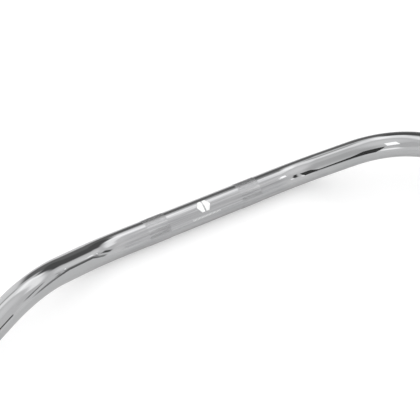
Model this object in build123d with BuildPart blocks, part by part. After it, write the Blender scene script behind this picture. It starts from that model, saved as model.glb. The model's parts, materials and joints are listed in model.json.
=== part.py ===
from build123d import *
from math import degrees, pi, radians, sqrt, tan
import os

# Steel motorcycle handlebar with a low rise and swept-back grips, millimetres.
# Origin: middle of the clamp section, on the tube's axis. +X runs to the right-hand grip, +Z is up.
# The bar is modelled lying at rest: on its two knurled clamp bands and the undersides of its grip ends.

# Tube
tube_diameter = 22.2
wall = 2.4
end_chamfer = 0.4

# Centre line, given as the bar stands when it is ridden
centre_straight = 156.0      # between the two rise bends
rise_angle = 32.3            # degrees that each arm climbs
rise_bend_radius = 70.0
arm_straight = 30.0          # between a rise bend and its sweep bend
sweep_bend_radius = 98.0
grip_straight = 190.0
grip_sweep = 25.4            # degrees that a grip points back
grip_climb = 2.7             # degrees that a grip points up

# Knurled bands that the riser clamps hold
clamp_spacing = 90.0
knurl_length = 20.0
knurl_height = 0.2
knurl_chamfer = 0.15

# Cap that closes each end of the tube
cap_step = 0.6               # the cap's rim sits this far inside the tube's surface
cap_thickness = 2.5
cap_fillet = 1.0
spigot_length = 8.0
spigot_clearance = 0.1
head_recess = 0.5            # the screw's head sits this far below the cap's face

# Expander rubber
rubber_length = 22.0
rubber_clearance = 0.05      # the rubber to the tube's bore
taper_length = 12.0
taper_mouth_wall = 1.25      # rubber left around the taper's mouth
taper_end_wall = 0.7         # step between the screw's hole and the taper's small end

# Cone nut that the screw draws into the rubber
cone_clearance = 0.1
cone_end_gap = 0.4
collar_clearance = 0.8       # the nut's collar to the tube's bore
collar_length = 4.0
collar_gap = 0.2
thread_clearance = 0.05

# M6 socket-head screw
screw_diameter = 6.0
screw_projection = 4.8       # the screw's tip stands out of the nut by this much
screw_hole_clearance = 0.3
head_diameter = 10.0
head_height = 6.0
head_clearance = 0.3
head_chamfer = 0.4
socket_across_flats = 5.0
socket_depth = 3.0
screw_tip_chamfer = 0.7

tube_radius = tube_diameter / 2
bore_radius = tube_radius - wall
clamp_radius = tube_radius + knurl_height

# Right half of the centre line in the riding position: its two corners and its end
arm_axis = Vector(1, 0, 0).rotate(Axis.Y, -rise_angle)
riding_grip_axis = Vector(1, 0, 0).rotate(Axis.Y, -grip_climb).rotate(Axis.Z, -grip_sweep)
rise_tangent = rise_bend_radius * tan(radians(rise_angle) / 2)
sweep_tangent = sweep_bend_radius * tan(radians(arm_axis.get_angle(riding_grip_axis)) / 2)
rise_corner = Vector(centre_straight / 2 + rise_tangent, 0, 0)
riding_sweep_corner = rise_corner + arm_axis * (rise_tangent + arm_straight + sweep_tangent)
riding_end = riding_sweep_corner + riding_grip_axis * (sweep_tangent + grip_straight)

# Roll the bar forward about its clamp axis until its ends touch what its clamp bands lie on
rest_tilt = 0.0
for step in range(12):
    grip_axis = riding_grip_axis.rotate(Axis.X, rest_tilt)
    bar_end = riding_end.rotate(Axis.X, rest_tilt)
    touching_point = bar_end - grip_axis * end_chamfer
    underside = touching_point.Z - tube_radius * sqrt(1 - grip_axis.Z**2)
    rest_tilt += degrees((underside + clamp_radius) / -bar_end.Y)
sweep_corner = riding_sweep_corner.rotate(Axis.X, rest_tilt)
print("rest tilt", round(rest_tilt, 2), "overall width", round(2 * bar_end.X, 1))

# Places along an end plug, measured from the tube's end face, outwards positive
head_seat = cap_thickness - head_recess - head_height
rubber_top = -spigot_length
rubber_bottom = rubber_top - rubber_length
collar_top = rubber_bottom - collar_gap
nut_bottom = collar_top - collar_length
cone_top = rubber_bottom + taper_length - cone_end_gap
screw_tip = nut_bottom - screw_projection

# Radii of an end plug
screw_radius = screw_diameter / 2
screw_hole_radius = screw_radius + screw_hole_clearance
rubber_radius = bore_radius - rubber_clearance
taper_mouth_radius = rubber_radius - taper_mouth_wall
taper_end_radius = screw_hole_radius + taper_end_wall
taper_slope = (taper_mouth_radius - taper_end_radius) / taper_length
cone_base_radius = taper_mouth_radius + taper_slope * collar_gap - cone_clearance
cone_top_radius = taper_end_radius + taper_slope * cone_end_gap - cone_clearance


def mirrored(vector):
    return Vector(-vector.X, vector.Y, vector.Z)


def save(piece, name):
    piece.part.label = name
    export_step(piece.part, f"parts/{name}.step")


os.makedirs("parts", exist_ok=True)

# Bent tube with its two knurled bands
route = [mirrored(bar_end), mirrored(sweep_corner), mirrored(rise_corner), rise_corner, sweep_corner, bar_end]
bend_radii = [sweep_bend_radius, rise_bend_radius, rise_bend_radius, sweep_bend_radius]
with BuildPart() as bar_tube:
    with BuildLine() as centre_line:
        FilletPolyline(*route, radius=bend_radii)
    with BuildSketch(Plane(origin=route[0], z_dir=route[1] - route[0])) as tube_section:
        Circle(tube_radius)
        Circle(bore_radius, mode=Mode.SUBTRACT)
    sweep(path=centre_line.wires()[0])
    swept_volume = bar_tube.part.volume
    chamfer(bar_tube.faces().filter_by(GeomType.PLANE).edges(), end_chamfer)
    for band_middle in (-clamp_spacing / 2, clamp_spacing / 2):
        with BuildSketch(Plane.YZ.offset(band_middle - knurl_length / 2)):
            Circle(clamp_radius)
            Circle(bore_radius, mode=Mode.SUBTRACT)
        extrude(amount=knurl_length)
    round_edges = bar_tube.edges().filter_by(GeomType.CIRCLE)
    chamfer(round_edges.filter_by(lambda edge: abs(edge.radius - clamp_radius) < 1e-6), knurl_chamfer)
save(bar_tube, "bar_tube")
straight_volume = tube_section.sketch.area * centre_line.wires()[0].length
print("swept volume over section times length:", round(swept_volume / straight_volume, 6))

# One expanding plug in each end of the tube
plug_places = {"left": (mirrored(bar_end), mirrored(grip_axis)), "right": (bar_end, grip_axis)}
for side, (end_point, outward) in plug_places.items():
    end_plane = Plane(origin=end_point, z_dir=outward)
    plug_axis = Axis(end_point, outward)

    with BuildPart() as end_cap:
        with BuildSketch(end_plane):
            Circle(tube_radius - cap_step)
        extrude(amount=cap_thickness)
        fillet(end_cap.edges().group_by(plug_axis)[-1], cap_fillet)
        with BuildSketch(end_plane.offset(rubber_top)):
            Circle(bore_radius - spigot_clearance)
        extrude(amount=spigot_length)
        with BuildSketch(end_plane.offset(head_seat)):
            Circle(head_diameter / 2 + head_clearance)
        extrude(amount=cap_thickness - head_seat, mode=Mode.SUBTRACT)
        with BuildSketch(end_plane.offset(rubber_top)):
            Circle(screw_hole_radius)
        extrude(amount=spigot_length, mode=Mode.SUBTRACT)
    save(end_cap, f"end_cap_{side}")

    with BuildPart() as expander_rubber:
        with BuildSketch(end_plane.offset(rubber_bottom)):
            Circle(rubber_radius)
            Circle(screw_hole_radius, mode=Mode.SUBTRACT)
        extrude(amount=rubber_length)
        with BuildSketch(end_plane.offset(rubber_bottom)):
            Circle(taper_mouth_radius)
        with BuildSketch(end_plane.offset(rubber_bottom + taper_length)):
            Circle(taper_end_radius)
        loft(mode=Mode.SUBTRACT)
    save(expander_rubber, f"expander_rubber_{side}")

    with BuildPart() as cone_nut:
        with BuildSketch(end_plane.offset(collar_top)):
            Circle(cone_base_radius)
        with BuildSketch(end_plane.offset(cone_top)):
            Circle(cone_top_radius)
        loft()
        with BuildSketch(end_plane.offset(nut_bottom)):
            Circle(bore_radius - collar_clearance)
        extrude(amount=collar_length)
        with BuildSketch(end_plane.offset(nut_bottom)):
            Circle(screw_radius + thread_clearance)
        extrude(amount=cone_top - nut_bottom, mode=Mode.SUBTRACT)
    save(cone_nut, f"cone_nut_{side}")

    with BuildPart() as cap_screw:
        with BuildSketch(end_plane.offset(head_seat)):
            Circle(head_diameter / 2)
        extrude(amount=head_height)
        chamfer(cap_screw.edges().group_by(plug_axis)[-1], head_chamfer)
        with BuildSketch(end_plane.offset(screw_tip)):
            Circle(screw_radius)
        extrude(amount=head_seat - screw_tip)
        chamfer(cap_screw.edges().group_by(plug_axis)[0], screw_tip_chamfer)
        with BuildSketch(end_plane.offset(head_seat + head_height)):
            RegularPolygon(socket_across_flats / 2, 6, major_radius=False)
        extrude(amount=-socket_depth, mode=Mode.SUBTRACT)
    save(cap_screw, f"cap_screw_{side}")
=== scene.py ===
import json
import math

import bmesh
import bpy
from mathutils import Matrix, Vector


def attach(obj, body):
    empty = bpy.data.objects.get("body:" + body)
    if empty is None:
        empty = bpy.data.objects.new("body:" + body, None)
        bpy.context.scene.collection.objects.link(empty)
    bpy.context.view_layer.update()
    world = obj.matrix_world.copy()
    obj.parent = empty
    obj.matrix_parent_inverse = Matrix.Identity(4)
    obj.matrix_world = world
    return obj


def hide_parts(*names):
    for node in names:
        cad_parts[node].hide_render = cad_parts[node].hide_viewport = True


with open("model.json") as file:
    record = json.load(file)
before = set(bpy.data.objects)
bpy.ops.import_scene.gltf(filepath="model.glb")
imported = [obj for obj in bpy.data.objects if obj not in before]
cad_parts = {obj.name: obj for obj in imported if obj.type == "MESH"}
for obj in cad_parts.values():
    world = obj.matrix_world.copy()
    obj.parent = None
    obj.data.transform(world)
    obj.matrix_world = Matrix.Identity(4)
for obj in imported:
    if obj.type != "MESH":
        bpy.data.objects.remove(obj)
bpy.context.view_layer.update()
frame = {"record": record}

mounts = {mount["name"]: mount for mount in frame["record"]["mounts"]}
mm = 0.001
sameSpot = 0.0001 * mm   # points closer than this are one point


def hexToLinear(code):
    # sRGB hex to the linear colour that a shader socket takes
    channels = [int(code[i:i + 2], 16) / 255 for i in (1, 3, 5)]
    return [c / 12.92 if c <= 0.04045 else ((c + 0.055) / 1.055) ** 2.4 for c in channels] + [1.0]


def addNode(tree, kind, settings=None, inputs=None):
    # one node, with its settings and its ramp stops; an input given a node links from its first output
    # (a Mix node takes numbers at sockets 2 and 3, colours at 6 and 7, and gives its colour at output 2)
    node = tree.nodes.new(kind)
    for name, value in (settings or {}).items():
        if name == "stops":
            ramp = node.color_ramp.elements
            while len(ramp) < len(value):
                ramp.new(0.5)
            for element, (place, tone) in zip(ramp, value):
                element.position = place
                element.color = (tone, tone, tone, 1) if isinstance(tone, (int, float)) else tone
        else:
            setattr(node, name, value)
    for socket, value in (inputs or {}).items():
        if isinstance(value, bpy.types.Node):
            value = value.outputs[0]
        if isinstance(value, bpy.types.NodeSocket):
            tree.links.new(value, node.inputs[socket])
        else:
            node.inputs[socket].default_value = value
    return node


def newMaterial(name):
    material = bpy.data.materials.new(name)
    material.use_nodes = True
    tree = material.node_tree
    tree.nodes.clear()
    return material, tree


def meshObject(bm, name, material):
    # the mesh's place is in its points, so the object stays at the origin
    mesh = bpy.data.meshes.new(name)
    bm.to_mesh(mesh)
    bm.free()
    mesh.materials.append(material)
    made = bpy.data.objects.new(name, mesh)
    bpy.context.scene.collection.objects.link(made)
    return made


def finishPiece(bm, name, material, body, replaced):
    piece = meshObject(bm, name, material)
    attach(piece, body)
    if replaced:
        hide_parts(replaced)


camera = {
    "place": (-0.3578, -0.3979, 0.8249),
    "right": (0.86192, -0.48467, 0.14895),
    "up": (0.34598, 0.77693, 0.52601),
    "lens": 98.6,
    "sensor": 36.0,
    "clipEnd": 50.0,
}


def addCamera():
    data = bpy.data.cameras.new("studioCamera")
    data.lens = camera["lens"]
    data.sensor_width = camera["sensor"]
    data.clip_end = camera["clipEnd"]
    right = Vector(camera["right"]).normalized()
    up = Vector(camera["up"])
    up = (up - right * up.dot(right)).normalized()
    turn = Matrix((right, up, right.cross(up))).transposed()
    view = bpy.data.objects.new("studioCamera", data)
    view.matrix_world = Matrix.Translation(camera["place"]) @ turn.to_4x4()
    bpy.context.scene.collection.objects.link(view)
    bpy.context.scene.camera = view


addCamera()
print("camera placed")

bar = {
    "tubeRadius": 11.1 * mm,
    "wall": 2.4 * mm,
    "endChamfer": 0.4 * mm,
    "centreHalf": 78.0 * mm,
    "riseAngle": math.radians(32.3),
    "riseRadius": 70.0 * mm,
    "armStraight": 30.0 * mm,
    "sweepRadius": 98.0 * mm,
    "gripStraight": 190.0 * mm,
    "gripRings": 4,
    "restTilt": math.radians(30.2687),    # roll of the bar as it lies on its bands and grip ends
    "pointsAround": 96,
    "outerBendStep": math.radians(1.0),
    "boreBendStep": math.radians(4.0),
    "sharpEdge": math.radians(30),
    # the two knurled bands
    "bandStart": 35.0 * mm,
    "bandLength": 20.0 * mm,
    "bandShoulder": 0.15 * mm,
    "bandRows": 27,
    "bandRoot": 11.24 * mm,
    "toothHeight": 0.032 * mm,
    "grooveHalf": 0.13 * mm,
    # the chrome plate
    "bright": "#BDBDBE",
    "hazy": "#B7B8B9",
    "dull": "#A3A4A6",
    "armRoughness": (0.03, 0.075),
    "centreRoughness": (0.05, 0.16),
    "polishedHalf": (70 * mm, 86 * mm),   # the centre was polished lengthways after bending, the arms weren't
    "hazeSize": 30 * mm,
    "streakLength": 90 * mm,
    "streakWidth": 1.6 * mm,              # real polishing lines are under 0.1 mm, this is what they add up to
    "scratchLength": 9 * mm,
    "scratchWidth": 0.35 * mm,            # real hairlines are under 0.05 mm, drawn coarser to show
    "scratchShare": (0.70, 0.74),         # only where the noise is above this, so there are few
    "bumpHeight": 0.004 * mm,
    "bumpStrength": 0.5,
}


def nextRing(bm, ring):
    # the open ring of edges gets a strip of faces, and the strip's far edge is the new ring
    made = bmesh.ops.extrude_edge_only(bm, edges=ring)["geom"]
    points = [g for g in made if isinstance(g, bmesh.types.BMVert)]
    inRing = set(points)
    edges = [g for g in made if isinstance(g, bmesh.types.BMEdge) and set(g.verts) <= inRing]
    return points, edges


def buildTube():
    # the directions of the right half's straights, as the bar lies at rest
    middle = Vector((1, 0, 0))
    arm = Vector((math.cos(bar["riseAngle"]), 0, math.sin(bar["riseAngle"])))
    arm.rotate(Matrix.Rotation(bar["restTilt"], 3, "X"))
    grip = Vector(mounts["grip_right"]["axis"]).normalized()

    bm = bmesh.new()
    unbent = bm.verts.layers.float_vector.new("unbent")
    radius = bar["tubeRadius"]
    bmesh.ops.create_circle(bm, segments=bar["pointsAround"], radius=radius,
                            matrix=Matrix.Rotation(math.pi / 2, 4, "Y"))
    # the unbent place of a point: its distance along the bar, and where it was round the straight tube
    for point in bm.verts:
        point[unbent] = (0, point.co.y, point.co.z)
    state = {"ring": list(bm.edges), "points": list(bm.verts), "at": Vector((0, 0, 0)),
             "along": 0.0, "radius": radius, "heading": 1}

    def noteAlong():
        for point in state["points"]:
            point[unbent] = (state["along"], point[unbent][1], point[unbent][2])

    def straight(direction, length, steps=1):
        for _ in range(steps):
            state["points"], state["ring"] = nextRing(bm, state["ring"])
            bmesh.ops.translate(bm, vec=direction * (length / steps), verts=state["points"])
            state["at"] = state["at"] + direction * (length / steps)
            state["along"] += state["heading"] * length / steps
            noteAlong()

    def bend(fromAxis, toAxis, bendRadius, stepAngle):
        turn = fromAxis.angle(toAxis)
        axis = fromAxis.cross(toAxis).normalized()
        centre = state["at"] + axis.cross(fromAxis) * bendRadius
        steps = max(1, round(turn / stepAngle))
        for _ in range(steps):
            state["points"], state["ring"] = nextRing(bm, state["ring"])
            step = Matrix.Rotation(turn / steps, 3, axis)
            bmesh.ops.rotate(bm, cent=centre, matrix=step, verts=state["points"])
            state["at"] = centre + step @ (state["at"] - centre)
            state["along"] += state["heading"] * bendRadius * turn / steps
            noteAlong()

    def resize(newRadius, shift, direction=grip):
        state["points"], state["ring"] = nextRing(bm, state["ring"])
        bmesh.ops.scale(bm, vec=[newRadius / state["radius"]] * 3,
                        space=Matrix.Translation(-state["at"]), verts=state["points"])
        bmesh.ops.translate(bm, vec=direction * shift, verts=state["points"])
        state["at"] = state["at"] + direction * shift
        state["along"] += shift
        state["radius"] = newRadius
        noteAlong()

    # out along the outside, over the knurled band and the two bends
    straight(middle, bar["bandStart"])
    resize(bar["bandRoot"], bar["bandShoulder"], middle)
    straight(middle, bar["bandLength"] - 2 * bar["bandShoulder"], bar["bandRows"])
    resize(radius, bar["bandShoulder"], middle)
    straight(middle, bar["centreHalf"] - bar["bandStart"] - bar["bandLength"])
    bend(middle, arm, bar["riseRadius"], bar["outerBendStep"])
    straight(arm, bar["armStraight"])
    bend(arm, grip, bar["sweepRadius"], bar["outerBendStep"])
    straight(grip, bar["gripStraight"] - bar["endChamfer"], bar["gripRings"])
    tubeEnd = state["at"] + grip * bar["endChamfer"]
    # round the end, and back along the bore
    bore = radius - bar["wall"]
    resize(radius - bar["endChamfer"], bar["endChamfer"])
    resize(bore + bar["endChamfer"], 0)
    resize(bore, -bar["endChamfer"])
    state["heading"] = -1
    straight(-grip, bar["gripStraight"] - bar["endChamfer"])
    bend(-grip, -arm, bar["sweepRadius"], bar["boreBendStep"])
    straight(-arm, bar["armStraight"])
    bend(-arm, -middle, bar["riseRadius"], bar["boreBendStep"])
    straight(-middle, bar["centreHalf"])

    bmesh.ops.mirror(bm, geom=bm.verts[:] + bm.edges[:] + bm.faces[:], matrix=Matrix.Identity(4),
                     merge_dist=10 * sameSpot, axis="X")
    bmesh.ops.recalc_face_normals(bm, faces=bm.faces)
    for point in bm.verts:
        if point.co.x < 0:
            point[unbent] = (-abs(point[unbent][0]), point[unbent][1], point[unbent][2])
    print("tube bent, its right end at", [round(v / mm, 1) for v in tubeEnd])
    return bm, tubeEnd


def onBand(place):
    outside = math.hypot(place.y, place.z) > (bar["tubeRadius"] + bar["bandRoot"]) / 2
    return outside and bar["bandStart"] < abs(place.x) < bar["bandStart"] + bar["bandLength"]


def rollKnurl(bm):
    # each square of a band is split to its middle, and its old edges go, which leaves diamonds
    squares = [face for face in bm.faces if all(onBand(point.co) for point in face.verts)]
    inside = set(squares)
    oldEdges = [e for e in bm.edges if len(e.link_faces) == 2 and set(e.link_faces) <= inside]
    bmesh.ops.poke(bm, faces=squares)
    bmesh.ops.dissolve_edges(bm, edges=oldEdges, use_verts=False)
    diamonds = [face for face in bm.faces
                if len(face.verts) == 4 and all(onBand(point.co) for point in face.verts)]
    # a flat-topped tooth on each diamond, with a groove between it and the next
    bmesh.ops.inset_individual(bm, faces=diamonds, thickness=bar["grooveHalf"],
                               depth=bar["toothHeight"], use_even_offset=True)
    print("knurl teeth", len(diamonds))


def chromeMaterial():
    # hard chrome plated on polished steel: a cool grey mirror, with a faint haze, a lengthways
    # polish on the centre that softens its reflections, and a few hairline scratches from handling
    material, tree = newMaterial("polishedChromePlate")
    place = addNode(tree, "ShaderNodeAttribute", {"attribute_name": "unbent"}).outputs["Vector"]
    haze = addNode(tree, "ShaderNodeTexNoise", None, {
        "Vector": place, "Scale": 1 / bar["hazeSize"], "Detail": 3.0})
    streakPlace = addNode(tree, "ShaderNodeMapping", None, {"Vector": place, "Scale": (
        1 / bar["streakLength"], 1 / bar["streakWidth"], 1 / bar["streakWidth"])})
    streaks = addNode(tree, "ShaderNodeTexNoise", None, {
        "Vector": streakPlace, "Scale": 1.0, "Detail": 4.0, "Roughness": 0.65})
    scratchPlace = addNode(tree, "ShaderNodeMapping", None, {"Vector": place, "Scale": (
        1 / bar["scratchLength"], 1 / bar["scratchWidth"], 1 / bar["scratchWidth"])})
    scratches = addNode(tree, "ShaderNodeTexNoise", None, {
        "Vector": scratchPlace, "Scale": 1.0, "Detail": 2.0})
    along = addNode(tree, "ShaderNodeSeparateXYZ", None, {"Vector": place}).outputs["X"]
    fromMiddle = addNode(tree, "ShaderNodeMath", {"operation": "ABSOLUTE"}, {0: along})
    polished = addNode(tree, "ShaderNodeMapRange", {"interpolation_type": "SMOOTHSTEP"}, {
        "Value": fromMiddle, "From Min": bar["polishedHalf"][1], "From Max": bar["polishedHalf"][0]})
    low, high = bar["armRoughness"]
    armRoughness = addNode(tree, "ShaderNodeMath", {"operation": "MULTIPLY_ADD"}, {
        0: haze, 1: high - low, 2: low})
    low, high = bar["centreRoughness"]
    centreRoughness = addNode(tree, "ShaderNodeMath", {"operation": "MULTIPLY_ADD"}, {
        0: streaks, 1: high - low, 2: low})
    roughness = addNode(tree, "ShaderNodeMix", {"data_type": "FLOAT"}, {
        "Factor": polished, 2: armRoughness, 3: centreRoughness})
    streakTone = addNode(tree, "ShaderNodeValToRGB", {"stops": [
        (0.32, hexToLinear(bar["dull"])), (0.62, hexToLinear(bar["bright"]))]}, {"Fac": streaks})
    hazeTone = addNode(tree, "ShaderNodeValToRGB", {"stops": [
        (0.3, hexToLinear(bar["hazy"])), (0.7, hexToLinear(bar["bright"]))]}, {"Fac": haze})
    colour = addNode(tree, "ShaderNodeMix", {"data_type": "RGBA"}, {
        "Factor": polished, 6: hazeTone, 7: streakTone}).outputs[2]
    lines = addNode(tree, "ShaderNodeMath", {"operation": "MULTIPLY"}, {0: streaks, 1: polished})
    hairlines = addNode(tree, "ShaderNodeMapRange", None, {
        "Value": scratches, "From Min": bar["scratchShare"][0], "From Max": bar["scratchShare"][1]})
    height = addNode(tree, "ShaderNodeMath", {"operation": "SUBTRACT"}, {0: lines, 1: hairlines})
    bump = addNode(tree, "ShaderNodeBump", None, {
        "Height": height, "Strength": bar["bumpStrength"], "Distance": bar["bumpHeight"]})
    shader = addNode(tree, "ShaderNodeBsdfPrincipled", None, {
        "Base Color": colour, "Metallic": 1.0, "Roughness": roughness, "Normal": bump})
    addNode(tree, "ShaderNodeOutputMaterial", None, {"Surface": shader})
    return material


def addBar():
    bm, tubeEnd = buildTube()
    rollKnurl(bm)
    for face in bm.faces:
        face.smooth = not onBand(face.calc_center_median())
    for edge in bm.edges:
        if len(edge.link_faces) == 2 and edge.calc_face_angle(0) > bar["sharpEdge"]:
            edge.smooth = False
    finishPiece(bm, "bentChromeTube", chromeMaterial(), "bar", "bar_tube")
    return tubeEnd


tubeEnd = addBar()
print("bar built")

mark = {
    "printRadius": 11.125 * mm,
    "depth": 0.06 * mm,
    "centre": -0.5 * mm,
    "middle": math.radians(83),       # angle up from the front of the tube
    "arcHalf": math.radians(26),
    "arcSteps": 14,
    "halfLength": 6.4 * mm,
    "shortHalfLength": 3.4 * mm,
    "slit": 1.2 * mm,
    "ticks": 20,
    "tickPitch": 1.35 * mm,
    "tickWidth": 0.35 * mm,
    "tickAngle": math.radians(37),
    "tickArc": math.radians(4),
    "tickSteps": 2,
    # the ink
    "thinInk": "#E2E4E4",
    "fullInk": "#FAFBFA",
    "roughness": (0.35, 0.55),
    "blotchSize": 0.9 * mm,
    "grainSize": 0.12 * mm,
    "relief": 0.01 * mm,
}


def curvedPatch(bm, start, end, low, high, steps):
    # an edge along the tube, swept round it
    radius = mark["printRadius"]
    edge = [bm.verts.new((x, -radius * math.cos(low), radius * math.sin(low))) for x in (start, end)]
    line = bm.edges.new(edge)
    bmesh.ops.spin(bm, geom=edge + [line], cent=(0, 0, 0), axis=(1, 0, 0), angle=low - high, steps=steps)


def printMaterial():
    # white pad-printed ink: a thin satin film, a little uneven, with a fine grain
    material, tree = newMaterial("whitePadPrintedInk")
    place = addNode(tree, "ShaderNodeTexCoord").outputs["Object"]
    blotches = addNode(tree, "ShaderNodeTexNoise", None, {
        "Vector": place, "Scale": 1 / mark["blotchSize"], "Detail": 3.0})
    grain = addNode(tree, "ShaderNodeTexNoise", None, {
        "Vector": place, "Scale": 1 / mark["grainSize"], "Detail": 2.0})
    colour = addNode(tree, "ShaderNodeValToRGB", {"stops": [
        (0.3, hexToLinear(mark["thinInk"])), (0.65, hexToLinear(mark["fullInk"]))]}, {"Fac": blotches})
    low, high = mark["roughness"]
    roughness = addNode(tree, "ShaderNodeMath", {"operation": "MULTIPLY_ADD"}, {
        0: blotches, 1: high - low, 2: low})
    bump = addNode(tree, "ShaderNodeBump", None, {
        "Height": grain, "Strength": 0.4, "Distance": mark["relief"]})
    shader = addNode(tree, "ShaderNodeBsdfPrincipled", None, {
        "Base Color": colour, "Roughness": roughness, "Normal": bump})
    addNode(tree, "ShaderNodeOutputMaterial", None, {"Surface": shader})
    return material


def addMark():
    bm = bmesh.new()
    middle, arcHalf = mark["middle"], mark["arcHalf"]
    for side in (-1, 1):
        inner, outer = mark["slit"] / 2 * side, mark["halfLength"] * side
        curvedPatch(bm, inner, outer, middle - arcHalf, middle + arcHalf, mark["arcSteps"])
    # the four outer corners are cut off, which leaves two halves of a hexagon
    arc = mark["printRadius"] * math.sin(arcHalf)
    run = mark["halfLength"] - mark["shortHalfLength"]
    across = Vector((0, math.sin(middle), math.cos(middle)))
    for side in (-1, 1):
        for end in (-1, 1):
            corner = Vector((side * mark["halfLength"], 0, 0))
            normal = Vector((side * arc, 0, 0)) + across * end * run
            bmesh.ops.bisect_plane(bm, geom=bm.verts[:] + bm.edges[:] + bm.faces[:], dist=sameSpot,
                                   plane_co=corner, plane_no=normal, clear_outer=True)
    # a row of ticks in front of it
    first = -mark["tickPitch"] * (mark["ticks"] - 1) / 2
    for i in range(mark["ticks"]):
        place = first + i * mark["tickPitch"]
        curvedPatch(bm, place - mark["tickWidth"] / 2, place + mark["tickWidth"] / 2,
                    mark["tickAngle"] - mark["tickArc"], mark["tickAngle"] + mark["tickArc"],
                    mark["tickSteps"])
    bmesh.ops.remove_doubles(bm, verts=bm.verts, dist=sameSpot)
    bmesh.ops.recalc_face_normals(bm, faces=bm.faces)
    bmesh.ops.translate(bm, vec=(mark["centre"], 0, 0), verts=bm.verts)
    # an open patch may come out inside out, so each face is turned to point away from the tube
    for face in bm.faces:
        spot = face.calc_center_median()
        if face.normal.dot(Vector((0, spot.y, spot.z))) < 0:
            face.normal_flip()
    bmesh.ops.solidify(bm, geom=bm.faces[:], thickness=mark["depth"])
    finishPiece(bm, "centringMark", printMaterial(), "bar", None)


addMark()
print("mark printed")

# the plugs' parts are turned upright, then laid in the bar's ends: their sizes are in mm along the
# grip's axis from the tube's end, outwards positive
turning = {
    "facets": 64,
    "screwFacets": 48,
    "roundSteps": 5,
    "sharpEdge": math.radians(28),
}


def turned(profile, closed=True, facets=turning["facets"]):
    # an outline of (radius, height), turned once round the axis
    bm = bmesh.new()
    outline = drawOutline(bm, profile, closed)
    bmesh.ops.spin(bm, geom=outline, cent=(0, 0, 0), axis=(0, 0, 1), angle=2 * math.pi,
                   steps=facets, use_merge=True)
    bmesh.ops.remove_doubles(bm, verts=bm.verts, dist=sameSpot)
    return bm


def drawOutline(bm, profile, closed=True):
    points = [bm.verts.new((radius * mm, 0, height * mm)) for radius, height in profile]
    first = 0 if closed else 1
    return points + [bm.edges.new((points[i - 1], points[i])) for i in range(first, len(points))]


def quarterRound(radius, height, size):
    # the outer top corner's round, about (radius, height)
    angles = [math.pi / 2 * i / turning["roundSteps"] for i in range(turning["roundSteps"] + 1)]
    return [(radius + size * math.cos(a), height + size * math.sin(a)) for a in angles]


def placePlugPiece(bm, name, material, side, body, replaced):
    # keeps each point's place on the upright part in "turnedPlace", then lays the part in the bar's end
    bmesh.ops.recalc_face_normals(bm, faces=bm.faces)
    turnedPlace = bm.verts.layers.float_vector.new("turnedPlace")
    for point in bm.verts:
        point[turnedPlace] = point.co
    for face in bm.faces:
        face.smooth = True
    for edge in bm.edges:
        if len(edge.link_faces) == 2 and edge.calc_face_angle(0) > turning["sharpEdge"]:
            edge.smooth = False
    flip = 1 if side == "right" else -1
    grip = Vector(mounts["grip_" + side]["axis"]).normalized()
    grip = grip if grip.x * flip > 0 else -grip
    end = Vector((tubeEnd.x * flip, tubeEnd.y, tubeEnd.z))
    lay = Matrix.Translation(end) @ grip.to_track_quat("Z", "Y").to_matrix().to_4x4()
    bmesh.ops.transform(bm, matrix=lay, verts=bm.verts)
    finishPiece(bm, name, material, body, replaced)


def fromAxis(tree, place):
    # how far a point of the upright part is from its axis
    flat = addNode(tree, "ShaderNodeVectorMath", {"operation": "MULTIPLY"}, {0: place, 1: (1, 1, 0)})
    return addNode(tree, "ShaderNodeVectorMath", {"operation": "LENGTH"}, {0: flat}).outputs["Value"]


def latheRings(tree, place, width):
    # a pattern read by height and distance from the axis alone, so it makes the rings that a lathe leaves
    height = addNode(tree, "ShaderNodeSeparateXYZ", None, {"Vector": place}).outputs["Z"]
    section = addNode(tree, "ShaderNodeCombineXYZ", None, {"X": fromAxis(tree, place), "Z": height})
    return addNode(tree, "ShaderNodeTexNoise", None, {
        "Vector": section, "Scale": 1 / (width * mm), "Detail": 3.0, "Roughness": 0.7})


cap = {
    "radius": 10.5,
    "thickness": 2.5,
    "outerRound": 1.0,
    "innerBreak": 0.15,
    "spigotRadius": 8.6,
    "spigotEnd": -8.0,
    "spigotChamfer": 0.4,
    "headBore": 5.3,
    "headBoreChamfer": 0.25,
    "headFloor": -4.0,
    "screwHole": 3.3,
    "dull": "#ACAEB0",
    "bright": "#BDBDBE",
    "hazeSize": 4.0,
    "roughness": (0.06, 0.22),
    "ringWidth": 0.35,      # real feed marks are 0.1 mm, drawn coarser to show
    "ringDepth": 0.006,
}


def capMesh():
    c = cap
    outline = [(c["screwHole"], c["spigotEnd"]), (c["spigotRadius"] - c["spigotChamfer"], c["spigotEnd"]),
               (c["spigotRadius"], c["spigotEnd"] + c["spigotChamfer"]), (c["spigotRadius"], 0),
               (c["radius"] - c["innerBreak"], 0), (c["radius"], c["innerBreak"])]
    outline += quarterRound(c["radius"] - c["outerRound"], c["thickness"] - c["outerRound"], c["outerRound"])
    outline += [(c["headBore"] + c["headBoreChamfer"], c["thickness"]),
                (c["headBore"], c["thickness"] - c["headBoreChamfer"]),
                (c["headBore"], c["headFloor"]), (c["screwHole"], c["headFloor"])]
    return turned(outline)


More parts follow.
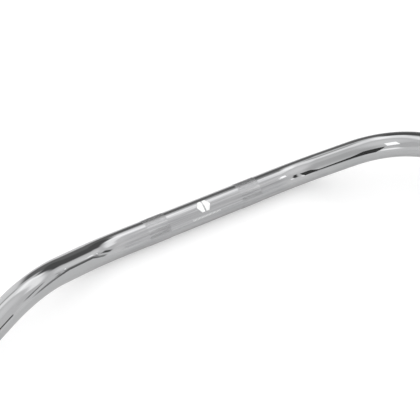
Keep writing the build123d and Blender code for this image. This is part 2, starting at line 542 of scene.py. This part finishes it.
def capMaterial():
    # chrome plated turned cap: the same grey mirror with fine rings from the lathe under the plate
    material, tree = newMaterial("turnedChromePlate")
    place = addNode(tree, "ShaderNodeAttribute", {"attribute_name": "turnedPlace"}).outputs["Vector"]
    rings = latheRings(tree, place, cap["ringWidth"])
    haze = addNode(tree, "ShaderNodeTexNoise", None, {
        "Vector": place, "Scale": 1 / (cap["hazeSize"] * mm), "Detail": 3.0})
    colour = addNode(tree, "ShaderNodeValToRGB", {"stops": [
        (0.3, hexToLinear(cap["dull"])), (0.7, hexToLinear(cap["bright"]))]}, {"Fac": haze})
    low, high = cap["roughness"]
    roughness = addNode(tree, "ShaderNodeMath", {"operation": "MULTIPLY_ADD"}, {
        0: rings, 1: high - low, 2: low})
    bump = addNode(tree, "ShaderNodeBump", None, {
        "Height": rings, "Strength": 0.6, "Distance": cap["ringDepth"] * mm})
    shader = addNode(tree, "ShaderNodeBsdfPrincipled", None, {
        "Base Color": colour, "Metallic": 1.0, "Roughness": roughness, "Normal": bump})
    addNode(tree, "ShaderNodeOutputMaterial", None, {"Surface": shader})
    return material


rubber = {
    "radius": 8.65,
    "start": -8.0,
    "end": -30.0,
    "edgeRound": 0.35,
    "ribs": 5,
    "grooveDepth": 0.45,
    "grooveWidth": 1.4,
    "grooveShares": (-0.5, -0.36, -0.18, 0, 0.18, 0.36, 0.5),   # places across a groove, in its own widths
    "mouthRadius": 7.4,
    "seatRadius": 4.0,
    "seat": -18.0,
    "hole": 3.3,
    "black": "#151617",
    "worn": "#222325",
    "rubbed": "#4A4B4C",
    "roughness": (0.5, 0.75),
    "rubbedDepth": 0.12,
    "mottleSize": 2.5,
    "grainSize": 0.25,
    "grainDepth": 0.03,
}


def rubberMesh():
    r = rubber
    radius, size = r["radius"], r["edgeRound"]
    cut = size / 3   # how far a round's middle point lies from either face
    outline = [(r["hole"], r["start"]), (r["hole"], r["seat"]), (r["seatRadius"], r["seat"]),
               (r["mouthRadius"], r["end"]), (radius - size, r["end"]),
               (radius - cut, r["end"] + cut), (radius, r["end"] + size)]
    # soft ribs that bite on the bore, with a rounded groove between each two
    pitch = (r["start"] - r["end"]) / (r["ribs"] + 1)
    for i in range(1, r["ribs"] + 1):
        middle = r["end"] + i * pitch
        for share in r["grooveShares"]:
            depth = r["grooveDepth"] * math.sqrt(max(0, 1 - (2 * share) ** 2))
            outline.append((radius - depth, middle + share * r["grooveWidth"]))
    outline += [(radius, r["start"] - size), (radius - cut, r["start"] - cut), (radius - size, r["start"])]
    return turned(outline)


def rubberMaterial():
    # moulded black rubber: dull, with the mould's fine grain, and paler where it has rubbed in the bore
    material, tree = newMaterial("mouldedBlackRubber")
    place = addNode(tree, "ShaderNodeAttribute", {"attribute_name": "turnedPlace"}).outputs["Vector"]
    mottle = addNode(tree, "ShaderNodeTexNoise", None, {
        "Vector": place, "Scale": 1 / (rubber["mottleSize"] * mm), "Detail": 4.0, "Roughness": 0.6})
    grain = addNode(tree, "ShaderNodeTexNoise", None, {
        "Vector": place, "Scale": 1 / (rubber["grainSize"] * mm), "Detail": 2.0})
    outermost = addNode(tree, "ShaderNodeMapRange", None, {
        "Value": fromAxis(tree, place), "From Min": (rubber["radius"] - rubber["rubbedDepth"]) * mm,
        "From Max": rubber["radius"] * mm})
    rubbed = addNode(tree, "ShaderNodeMath", {"operation": "MULTIPLY"}, {0: outermost, 1: mottle})
    base = addNode(tree, "ShaderNodeValToRGB", {"stops": [
        (0.3, hexToLinear(rubber["black"])), (0.7, hexToLinear(rubber["worn"]))]}, {"Fac": mottle})
    colour = addNode(tree, "ShaderNodeMix", {"data_type": "RGBA"}, {
        "Factor": rubbed, 6: base, 7: hexToLinear(rubber["rubbed"])}).outputs[2]
    low, high = rubber["roughness"]
    roughness = addNode(tree, "ShaderNodeMath", {"operation": "MULTIPLY_ADD"}, {
        0: mottle, 1: high - low, 2: low})
    bump = addNode(tree, "ShaderNodeBump", None, {
        "Height": grain, "Strength": 0.5, "Distance": rubber["grainDepth"] * mm})
    shader = addNode(tree, "ShaderNodeBsdfPrincipled", None, {
        "Base Color": colour, "Roughness": roughness, "Normal": bump})
    addNode(tree, "ShaderNodeOutputMaterial", None, {"Surface": shader})
    return material


nut = {
    "collarRadius": 7.9,
    "collarEnd": -34.2,
    "collarStart": -30.2,
    "coneWide": 7.357,
    "coneNarrow": 4.013,
    "coneTip": -18.4,
    "bore": 3.05,
    "chamfer": 0.3,
    "tarnish": "#9A7433",
    "brass": "#C39C4F",
    "brightBrass": "#D9B766",
    "roughness": (0.15, 0.4),
    "tarnishSize": 3.0,
    "ringWidth": 0.4,       # real feed marks are 0.15 mm, drawn coarser to show
    "ringDepth": 0.01,
}


def nutMesh():
    n = nut
    outline = [(n["bore"] + n["chamfer"], n["collarEnd"]), (n["collarRadius"] - n["chamfer"], n["collarEnd"]),
               (n["collarRadius"], n["collarEnd"] + n["chamfer"]),
               (n["collarRadius"], n["collarStart"] - n["chamfer"] / 2),
               (n["collarRadius"] - n["chamfer"] / 2, n["collarStart"]), (n["coneWide"], n["collarStart"]),
               (n["coneNarrow"], n["coneTip"]), (n["bore"] + n["chamfer"], n["coneTip"]),
               (n["bore"], n["coneTip"] - n["chamfer"]), (n["bore"], n["collarEnd"] + n["chamfer"])]
    return turned(outline)


def brassMaterial():
    # turned brass: warm yellow, with bright tool rings and darker tarnish that gathers in patches
    material, tree = newMaterial("turnedBrass")
    place = addNode(tree, "ShaderNodeAttribute", {"attribute_name": "turnedPlace"}).outputs["Vector"]
    rings = latheRings(tree, place, nut["ringWidth"])
    tarnish = addNode(tree, "ShaderNodeTexNoise", None, {
        "Vector": place, "Scale": 1 / (nut["tarnishSize"] * mm), "Detail": 4.0, "Roughness": 0.6})
    colour = addNode(tree, "ShaderNodeValToRGB", {"stops": [
        (0.25, hexToLinear(nut["tarnish"])), (0.5, hexToLinear(nut["brass"])),
        (0.75, hexToLinear(nut["brightBrass"]))]}, {"Fac": tarnish})
    low, high = nut["roughness"]
    roughness = addNode(tree, "ShaderNodeMath", {"operation": "MULTIPLY_ADD"}, {
        0: tarnish, 1: high - low, 2: low})
    bump = addNode(tree, "ShaderNodeBump", None, {
        "Height": rings, "Strength": 0.7, "Distance": nut["ringDepth"] * mm})
    shader = addNode(tree, "ShaderNodeBsdfPrincipled", None, {
        "Base Color": colour, "Metallic": 1.0, "Roughness": roughness, "Normal": bump})
    addNode(tree, "ShaderNodeOutputMaterial", None, {"Surface": shader})
    return material


screw = {
    "headRadius": 5.0,
    "headTop": 2.0,
    "headBottom": -4.0,
    "headChamfer": 0.4,
    "headBreak": 0.2,
    "socketFlats": 5.0,
    "socketDepth": 3.0,
    "socketChamfer": 0.25,
    "drillCone": 0.9,
    "shankRadius": 3.0,
    "coreRadius": 2.46,
    "coreTaper": 0.5,
    "threadStart": -12.0,
    "threadGap": (0.5, 0.3),    # bare core left at the tip's end of the thread and at the head's end
    "threadFoot": 0.86,         # share of the pitch that the thread covers at the core
    "threadSink": 0.05,         # the thread's foot is this deep in the core
    "pitch": 1.0,
    "crest": 0.125,
    "stepsPerTurn": 24,
    "tip": -39.0,
    "tipChamfer": 0.7,
    "tipTaper": 0.3,
    "blueZinc": "#A3ABB3",
    "greyZinc": "#B7BABB",
    "strawZinc": "#BDB8A6",
    "roughness": (0.2, 0.4),
    "tintSize": 2.2,
    "grainSize": 0.2,
    "grainDepth": 0.01,
}


def screwMesh():
    s = screw
    corner = s["socketFlats"] / 2 / math.cos(math.pi / 6)
    # shank and head, open at the top, where the socket goes
    bm = turned([(0, s["tip"]), (s["coreRadius"] - s["tipTaper"], s["tip"]),
                 (s["coreRadius"], s["tip"] + s["tipChamfer"]), (s["coreRadius"], s["threadStart"]),
                 (s["shankRadius"], s["threadStart"] + s["coreTaper"]), (s["shankRadius"], s["headBottom"]),
                 (s["headRadius"] - s["headBreak"], s["headBottom"]),
                 (s["headRadius"], s["headBottom"] + s["headBreak"]),
                 (s["headRadius"], s["headTop"] - s["headChamfer"]),
                 (s["headRadius"] - s["headChamfer"], s["headTop"]),
                 (corner + s["socketChamfer"], s["headTop"])], False, turning["screwFacets"])
    # the hexagon socket: a ring of six edges at the top, joined to the round mouth, then sunk
    rim = [e for e in bm.edges if e.is_boundary]
    rimHeight = s["headTop"] - s["socketChamfer"]
    hexagon = bmesh.ops.create_circle(bm, segments=6, radius=corner * mm,
                                      matrix=Matrix.Translation((0, 0, rimHeight * mm)))
    ring = list({e for point in hexagon["verts"] for e in point.link_edges})
    bmesh.ops.bridge_loops(bm, edges=rim + ring)
    points, ring = nextRing(bm, ring)
    bmesh.ops.translate(bm, vec=(0, 0, -(s["socketDepth"] - s["socketChamfer"]) * mm), verts=points)
    bottom = bmesh.ops.contextual_create(bm, geom=ring)["faces"]
    centre = bmesh.ops.poke(bm, faces=bottom)["verts"]
    bmesh.ops.translate(bm, vec=(0, 0, -s["drillCone"] * mm), verts=centre)
    # the thread: one closed section, swung round the core as it climbs
    start = s["tip"] + s["tipChamfer"] + s["threadGap"][0]
    turns = (s["threadStart"] - s["threadGap"][1] - start) / s["pitch"]
    foot, crest = s["pitch"] * s["threadFoot"] / 2, s["crest"] / 2
    root = s["coreRadius"] - s["threadSink"]
    section = drawOutline(bm, [(root, start - foot), (s["shankRadius"], start - crest),
                               (s["shankRadius"], start + crest), (root, start + foot)])
    bmesh.ops.spin(bm, geom=section, cent=(0, 0, 0), axis=(0, 0, 1), angle=2 * math.pi * turns,
                   dvec=(0, 0, s["pitch"] / s["stepsPerTurn"] * mm), steps=round(turns * s["stepsPerTurn"]))
    bmesh.ops.holes_fill(bm, edges=[e for e in bm.edges if e.is_boundary], sides=4)
    return bm


def screwMaterial():
    # zinc plated steel: pale grey with a faint blue and straw tint from the passivation, satin all over
    material, tree = newMaterial("zincPlatedSteel")
    place = addNode(tree, "ShaderNodeAttribute", {"attribute_name": "turnedPlace"}).outputs["Vector"]
    tint = addNode(tree, "ShaderNodeTexNoise", None, {
        "Vector": place, "Scale": 1 / (screw["tintSize"] * mm), "Detail": 3.0})
    grain = addNode(tree, "ShaderNodeTexNoise", None, {
        "Vector": place, "Scale": 1 / (screw["grainSize"] * mm), "Detail": 2.0})
    colour = addNode(tree, "ShaderNodeValToRGB", {"stops": [
        (0.3, hexToLinear(screw["blueZinc"])), (0.5, hexToLinear(screw["greyZinc"])),
        (0.72, hexToLinear(screw["strawZinc"]))]}, {"Fac": tint})
    low, high = screw["roughness"]
    roughness = addNode(tree, "ShaderNodeMath", {"operation": "MULTIPLY_ADD"}, {
        0: grain, 1: high - low, 2: low})
    bump = addNode(tree, "ShaderNodeBump", None, {
        "Height": grain, "Strength": 0.3, "Distance": screw["grainDepth"] * mm})
    shader = addNode(tree, "ShaderNodeBsdfPrincipled", None, {
        "Base Color": colour, "Metallic": 1.0, "Roughness": roughness, "Normal": bump})
    addNode(tree, "ShaderNodeOutputMaterial", None, {"Surface": shader})
    return material


plugKinds = [
    ("turnedCap", capMesh, capMaterial(), "plug_", "end_cap_", "chrome_cap"),
    ("ribbedRubber", rubberMesh, rubberMaterial(), "plug_", "expander_rubber_", "black_rubber"),
    ("coneNut", nutMesh, brassMaterial(), "nut_", "cone_nut_", "brass_nut"),
    ("threadedScrew", screwMesh, screwMaterial(), "screw_", "cap_screw_", "steel_screw"),
]
for side in ("left", "right"):
    for name, meshOf, material, body, node, slot in plugKinds:
        placePlugPiece(meshOf(), name + side.capitalize(), material, side, body + side, node + side)
    print("plug built", side)

studio = {
    "floorSize": 8.0,
    "floorDrop": 11.3 * mm,
    "paper": "#E4E4E4",
    "sheetLift": 0.28,
    "sheetEdge": (0.055, 0.075),     # behind this line the bar mirrors the room, not the sheet
    "floorGain": 1.25,               # the sheet is lit a little stronger than the bar mirrors the room
    # grey of the room at elevations in degrees, before the patches
    "roomGreys": [(-90, 0.9), (0, 1.0), (17, 0.97), (32, 0.92), (45, 0.84), (60, 0.9), (75, 1.05),
                  (90, 1.1)],
    # middle azimuth, half width, lowest and highest elevation, softness, all in degrees, and the grey;
    # azimuths go clockwise from +Y
    "patches": {
        "dimCorner": (-115, 35, 35, 65, 12, 0.72),
        "softbox": (4, 31, 34, 58, 6, 1.4),
        "softboxBright": (32, 18, 33, 58, 6, 1.78),
        "dimSill": (-8, 12, 22, 35, 4, 0.55),
        "softboxEnd": (68, 36, 42, 60, 6, 1.5),
        "whiteWall": (-25, 28, -40, 26, 6, 1.15),
        "darkDoorway": (37, 32, -20, 20, 4, 0.22),
        "darkCurtain": (47, 20, 5, 34, 5, 0.13),
        "sideWindow": (86, 7, 0, 30, 4, 1.1),
        "lowShelf": (108, 11, -4, 9, 3, 0.2),
        "middleShelf": (107, 6, 9, 23, 3, 0.42),
        "highShelf": (122, 11, 21, 33, 4, 0.1),
        "farShelf": (124, 8, -2, 12, 4, 0.35),
        "farColumn": (173, 5, 29, 55, 3, 0.06),
        "lampLow": (167, 3, 25, 32, 2, 1.8),
        "lampFar": (190, 6, 16, 27, 4, 1.8),
        "tableEdge": (211, 10, 8, 18, 4, 0.5),
    },
    # glowing cards near the bar that only its mirror shows, which paint reflections and glints on the chrome
    # and light nothing: the middle, the azimuth and elevation of a ray that meets the card's face square on,
    # the half width and half height, and the grey
    "cards": {
        "darkReflectionCard": ((-0.055, -0.4145, 0.3129), 175.6, -3.6, 0.105, 0.189, 0.07),
        "greyReflectionCard": ((0.1935, -0.1051, 0.1139), 170.0, 45.0, 0.03, 0.035, 0.8),
        "paleReflectionCard": ((-0.167, -0.104, 0.112), 150.0, 43.0, 0.03, 0.045, 0.9),
        "paleReflectionSlip": ((-0.0675, -0.0856, 0.0826), 121.0, 26.0, 0.046, 0.019, 0.95),
        "farGlint": ((0.1667, -0.0569, 0.1074), 184.0, 66.0, 0.012, 0.016, 2.1),
        "nearGlint": ((0.102, -0.0165, 0.0605), 90.0, 18.0, 0.008, 0.0035, 2.1),
    },
}


def addSheet(name, material, place):
    # a flat square that is part of the studio, a metre each way from its middle before it is placed
    bm = bmesh.new()
    bmesh.ops.create_grid(bm, x_segments=1, y_segments=1, size=1, matrix=place)
    made = meshObject(bm, name, material)
    return made


def addFloor():
    material, tree = newMaterial("whitePaperSheet")
    paper = addNode(tree, "ShaderNodeBsdfDiffuse", None, {"Color": hexToLinear(studio["paper"])})
    path = addNode(tree, "ShaderNodeLightPath")
    # the sheet is overexposed, so its shadow stays light
    lift = addNode(tree, "ShaderNodeMath", {"operation": "MULTIPLY"}, {
        0: path.outputs["Is Camera Ray"], 1: studio["sheetLift"]})
    glow = addNode(tree, "ShaderNodeEmission", None, {"Color": (1, 1, 1, 1), "Strength": lift})
    lit = addNode(tree, "ShaderNodeAddShader", None, {0: paper, 1: glow})
    # beyond its edge the sheet is clear to mirror rays
    place = addNode(tree, "ShaderNodeTexCoord").outputs["Object"]
    back = addNode(tree, "ShaderNodeSeparateXYZ", None, {"Vector": place}).outputs["Y"]
    beyond = addNode(tree, "ShaderNodeMapRange", {"interpolation_type": "SMOOTHSTEP"}, {
        "Value": back, "From Min": studio["sheetEdge"][0], "From Max": studio["sheetEdge"][1]})
    hole = addNode(tree, "ShaderNodeMath", {"operation": "MULTIPLY"}, {
        0: path.outputs["Is Glossy Ray"], 1: beyond})
    clear = addNode(tree, "ShaderNodeBsdfTransparent")
    mixed = addNode(tree, "ShaderNodeMixShader", None, {0: hole, 1: lit, 2: clear})
    addNode(tree, "ShaderNodeOutputMaterial", None, {"Surface": mixed})
    half = studio["floorSize"] / 2
    addSheet("paleFloor", material,
             Matrix.Translation((0, 0, -studio["floorDrop"])) @ Matrix.Diagonal((half, half, 1, 1)))


def addReflectionCards():
    for name, (middle, azimuth, elevation, halfWidth, halfHeight, grey) in studio["cards"].items():
        material, tree = newMaterial(name + "Face")
        # the card glows with its grey and only mirror rays see it, so it is a painted reflection on the
        # chrome, not a lamp
        glow = addNode(tree, "ShaderNodeEmission", None, {"Color": (1, 1, 1, 1), "Strength": grey})
        clear = addNode(tree, "ShaderNodeBsdfTransparent")
        back = addNode(tree, "ShaderNodeNewGeometry").outputs["Backfacing"]
        oneSided = addNode(tree, "ShaderNodeMixShader", None, {0: back, 1: glow, 2: clear})
        addNode(tree, "ShaderNodeOutputMaterial", None, {"Surface": oneSided})
        facing = (Matrix.Rotation(math.radians(-azimuth), 4, "Z")
                  @ Matrix.Rotation(math.radians(elevation + 90), 4, "X"))
        card = addSheet(name, material, Matrix.Translation(middle) @ facing
                        @ Matrix.Diagonal((halfWidth, halfHeight, 1, 1)))
        card.visible_camera = False
        card.visible_diffuse = False
        card.visible_shadow = False


def addWorld():
    world = bpy.data.worlds.new("softStudio")
    bpy.context.scene.world = world
    world.use_nodes = True
    tree = world.node_tree
    tree.nodes.clear()
    # each direction's azimuth and elevation in degrees
    direction = addNode(tree, "ShaderNodeTexCoord").outputs["Generated"]
    split = addNode(tree, "ShaderNodeSeparateXYZ", None, {"Vector": direction})
    elevation = addNode(tree, "ShaderNodeMath", {"operation": "ARCSINE"}, {0: split.outputs["Z"]})
    elevation = addNode(tree, "ShaderNodeMath", {"operation": "DEGREES"}, {0: elevation})
    azimuth = addNode(tree, "ShaderNodeMath", {"operation": "ARCTAN2"}, {
        0: split.outputs["X"], 1: split.outputs["Y"]})
    azimuth = addNode(tree, "ShaderNodeMath", {"operation": "DEGREES"}, {0: azimuth})
    share = addNode(tree, "ShaderNodeMapRange", None, {
        "Value": elevation, "From Min": -90.0, "From Max": 90.0})
    colour = addNode(tree, "ShaderNodeValToRGB", {"stops": [
        ((degrees + 90) / 180, grey) for degrees, grey in studio["roomGreys"]]}, {"Fac": share})
    for middle, halfWidth, low, high, soft, grey in studio["patches"].values():
        aside = addNode(tree, "ShaderNodeMath", {"operation": "SUBTRACT"}, {0: azimuth, 1: middle})
        aside = addNode(tree, "ShaderNodeMath", {"operation": "WRAP"}, {0: aside, 1: 180.0, 2: -180.0})
        aside = addNode(tree, "ShaderNodeMath", {"operation": "ABSOLUTE"}, {0: aside})
        # a soft step at each edge of the patch, from outside it to inside, and their product is its mask
        edges = [(aside, halfWidth + soft, halfWidth - soft), (elevation, low - soft, low + soft),
                 (elevation, high + soft, high - soft)]
        mask = 1.0
        for value, outside, inside in edges:
            step = addNode(tree, "ShaderNodeMapRange", {"interpolation_type": "SMOOTHSTEP"}, {
                "Value": value, "From Min": outside, "From Max": inside})
            mask = addNode(tree, "ShaderNodeMath", {"operation": "MULTIPLY"}, {0: mask, 1: step})
        colour = addNode(tree, "ShaderNodeMix", {"data_type": "RGBA"}, {
            "Factor": mask, 6: colour, 7: (grey, grey, grey, 1)}).outputs[2]
    path = addNode(tree, "ShaderNodeLightPath")
    gain = addNode(tree, "ShaderNodeMath", {"operation": "MULTIPLY_ADD"}, {
        0: path.outputs["Is Diffuse Ray"], 1: studio["floorGain"] - 1, 2: 1.0})
    room = addNode(tree, "ShaderNodeBackground", None, {"Color": colour, "Strength": gain})
    pale = addNode(tree, "ShaderNodeBackground", None, {"Color": (1, 1, 1, 1), "Strength": 1.0})
    chosen = addNode(tree, "ShaderNodeMixShader", None, {
        0: path.outputs["Is Camera Ray"], 1: room, 2: pale})
    addNode(tree, "ShaderNodeOutputWorld", None, {"Surface": chosen})


addFloor()
addReflectionCards()
addWorld()
scene = bpy.context.scene
scene.view_settings.view_transform = "Standard"
scene.view_settings.look = "None"
print("studio lit")
